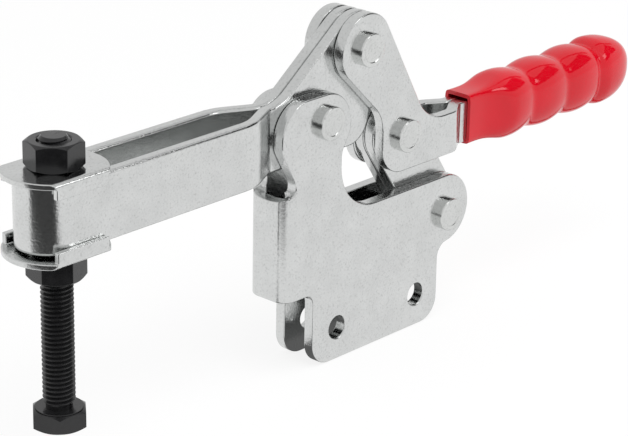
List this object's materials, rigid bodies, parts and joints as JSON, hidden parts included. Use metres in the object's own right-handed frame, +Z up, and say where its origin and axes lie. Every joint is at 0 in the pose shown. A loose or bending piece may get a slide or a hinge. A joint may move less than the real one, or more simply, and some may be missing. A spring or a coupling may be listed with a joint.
{
  "type": "toggle clamp",
  "caption": "Toggle clamp with a straight sheet base, an open U-shaped arm, a hexagon-head screw spindle between flanged washers, and a red finger-shaped grip.",
  "frame": {"origin": "middle of the line between the two mounting holes, on the clamp's middle plane", "axes": "+Z up, +X from the spindle towards the grip, +Y across the clamp along the mounting holes' axes"},
  "size_m": [0.3541, 0.0298, 0.1404],
  "materials": {
    "plate_zinc": "bright zinc plating on pressed steel sheet, slightly mottled",
    "arm_zinc": "bright zinc plating on bent steel strip",
    "washer_zinc": "bright zinc plating",
    "pin_zinc": "bright zinc plating on turned, riveted pins",
    "bush_steel": "plain hardened steel",
    "dark_steel": "black oxide, satin",
    "grip_vinyl": "glossy red dipped vinyl"
  },
  "bodies": {
    "base": {"base": "plate_zinc", "arm_pin": "pin_zinc", "link_pin": "pin_zinc", "link_bush": "bush_steel"},
    "arm": {"arm": "arm_zinc", "arm_bush": "bush_steel", "handle_bush": "bush_steel"},
    "handle": {"handle_near": "plate_zinc", "handle_far": "plate_zinc", "handle_pin": "pin_zinc", "knee_pin": "pin_zinc", "grip": "grip_vinyl"},
    "link": {"link_near": "plate_zinc", "link_far": "plate_zinc", "knee_bush": "bush_steel"},
    "carriage": {"upper_washer": "washer_zinc", "lower_washer": "washer_zinc", "upper_nut": "dark_steel", "lower_nut": "dark_steel"},
    "spindle": {"spindle": "dark_steel"}
  },
  "joints": [
    {"name": "arm_swing", "type": "hinge", "parent": "base", "child": "arm", "pos_m": [-0.032, 0, 0.088], "axis": [0, 1, 0], "range_deg": [0, 87]},
    {"name": "handle_lift", "type": "hinge", "parent": "arm", "child": "handle", "pos_m": [-0.01, 0, 0.1126], "axis": [0, 1, 0], "range_deg": [-162.3, 0]},
    {"name": "link_fold", "type": "hinge", "parent": "handle", "child": "link", "pos_m": [0.0142, 0, 0.0718], "axis": [0, 1, 0], "range_deg": [0, 106.5]},
    {"name": "carriage_slide", "type": "slide", "parent": "arm", "child": "carriage", "axis": [1, 0, 0], "range_m": [-0.004, 0.07]},
    {"name": "spindle_slide", "type": "slide", "parent": "carriage", "child": "spindle", "axis": [0, 0, 1], "range_m": [-0.0015, 0.045]}
  ],
  "couplings": [
    {"joint": "handle_lift", "follows": "arm_swing", "ratio": -1.8645},
    {"joint": "link_fold", "follows": "arm_swing", "ratio": 1.223}
  ]
}
